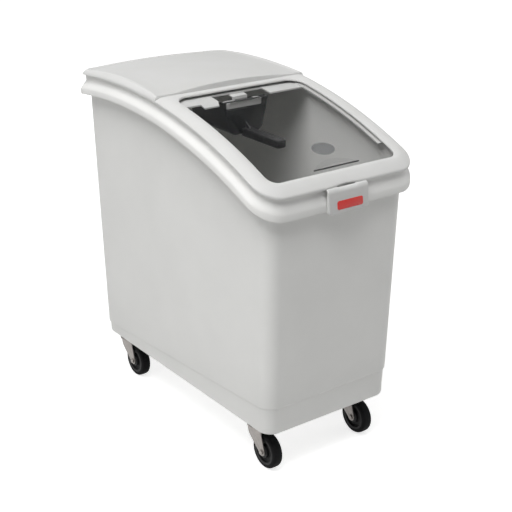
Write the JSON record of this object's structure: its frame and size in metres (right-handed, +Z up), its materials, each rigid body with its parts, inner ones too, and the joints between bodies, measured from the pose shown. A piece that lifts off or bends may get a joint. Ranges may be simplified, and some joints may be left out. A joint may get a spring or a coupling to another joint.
{
  "type": "rolling ingredient bin",
  "caption": "Slant-front ingredient bin on swivel casters with an arched lift-off lid, a clear sliding window, a rear cover and a scoop on a hook inside.",
  "frame": {"origin": "on the floor under the middle of the bin's box", "axes": "+X across the bin to the right seen from the front, -Y to the front with the window, +Z up"},
  "size_m": [0.392, 0.718, 0.7426],
  "materials": {
    "tub_plastic": "off-white moulded polyethylene, satin with a fine grain",
    "lid_plastic": "white injection-moulded plastic, soft gloss",
    "window_plastic": "clear polycarbonate sheet with a slight smoke tint",
    "scoop_plastic": "smoke-tinted clear plastic",
    "handle_plastic": "dark moulded plastic",
    "inlay_plastic": "plain red plastic",
    "zinc_steel": "bright zinc-plated pressed steel",
    "hub_plastic": "black moulded wheel core",
    "tyre_rubber": "black rubber tread"
  },
  "bodies": {
    "tub": {"tub": "tub_plastic", "plate_screws": "zinc_steel", "plate_fl": "zinc_steel", "kingpin_fl": "zinc_steel", "balls_fl": "zinc_steel", "plate_fr": "zinc_steel", "kingpin_fr": "zinc_steel", "balls_fr": "zinc_steel", "plate_rl": "zinc_steel", "kingpin_rl": "zinc_steel", "balls_rl": "zinc_steel", "plate_rr": "zinc_steel", "kingpin_rr": "zinc_steel", "balls_rr": "zinc_steel"},
    "lid": {"front_frame": "lid_plastic", "rear_cover": "lid_plastic", "lift_tab": "lid_plastic", "tab_inlay": "inlay_plastic", "runner_frame": "lid_plastic", "runner_screws": "zinc_steel", "scoop_hook": "lid_plastic"},
    "window": {"window_panel": "window_plastic", "window_pull": "window_plastic"},
    "scoop": {"scoop_bowl": "scoop_plastic", "scoop_handle": "handle_plastic"},
    "swivel_fl": {"fork_fl": "zinc_steel", "axle_fl": "zinc_steel", "bush_fl": "zinc_steel"},
    "wheel_fl": {"hub_fl": "hub_plastic", "tyre_fl": "tyre_rubber"},
    "swivel_fr": {"fork_fr": "zinc_steel", "axle_fr": "zinc_steel", "bush_fr": "zinc_steel"},
    "wheel_fr": {"hub_fr": "hub_plastic", "tyre_fr": "tyre_rubber"},
    "swivel_rl": {"fork_rl": "zinc_steel", "axle_rl": "zinc_steel", "bush_rl": "zinc_steel"},
    "wheel_rl": {"hub_rl": "hub_plastic", "tyre_rl": "tyre_rubber"},
    "swivel_rr": {"fork_rr": "zinc_steel", "axle_rr": "zinc_steel", "bush_rr": "zinc_steel"},
    "wheel_rr": {"hub_rr": "hub_plastic", "tyre_rr": "tyre_rubber"}
  },
  "joints": [
    {"name": "lid_lift", "type": "slide", "parent": "tub", "child": "lid", "axis": [0, 0, 1], "range_m": [0, 0.25]},
    {"name": "window_slide", "type": "hinge", "parent": "lid", "child": "window", "pos_m": [0, 0.168, -0.44], "axis": [-1, 0, 0], "range_deg": [0, 13]},
    {"name": "scoop_swing", "type": "hinge", "parent": "lid", "child": "scoop", "pos_m": [0, -0.0225, 0.70364], "axis": [1, 0, 0], "range_deg": [-6, 6]},
    {"name": "swivel_fl", "type": "hinge", "parent": "tub", "child": "swivel_fl", "pos_m": [-0.12076, -0.24431, 0.092], "axis": [0, 0, 1], "continuous": true},
    {"name": "wheel_fl", "type": "hinge", "parent": "swivel_fl", "child": "wheel_fl", "pos_m": [-0.12076, -0.26631, 0.0381], "axis": [1, 0, 0], "continuous": true},
    {"name": "swivel_fr", "type": "hinge", "parent": "tub", "child": "swivel_fr", "pos_m": [0.12076, -0.24431, 0.092], "axis": [0, 0, 1], "continuous": true},
    {"name": "wheel_fr", "type": "hinge", "parent": "swivel_fr", "child": "wheel_fr", "pos_m": [0.12076, -0.26631, 0.0381], "axis": [1, 0, 0], "continuous": true},
    {"name": "swivel_rl", "type": "hinge", "parent": "tub", "child": "swivel_rl", "pos_m": [-0.12076, 0.26667, 0.092], "axis": [0, 0, 1], "continuous": true},
    {"name": "wheel_rl", "type": "hinge", "parent": "swivel_rl", "child": "wheel_rl", "pos_m": [-0.12076, 0.24467, 0.0381], "axis": [1, 0, 0], "continuous": true},
    {"name": "swivel_rr", "type": "hinge", "parent": "tub", "child": "swivel_rr", "pos_m": [0.12076, 0.26667, 0.092], "axis": [0, 0, 1], "continuous": true},
    {"name": "wheel_rr", "type": "hinge", "parent": "swivel_rr", "child": "wheel_rr", "pos_m": [0.12076, 0.24467, 0.0381], "axis": [1, 0, 0], "continuous": true}
  ]
}
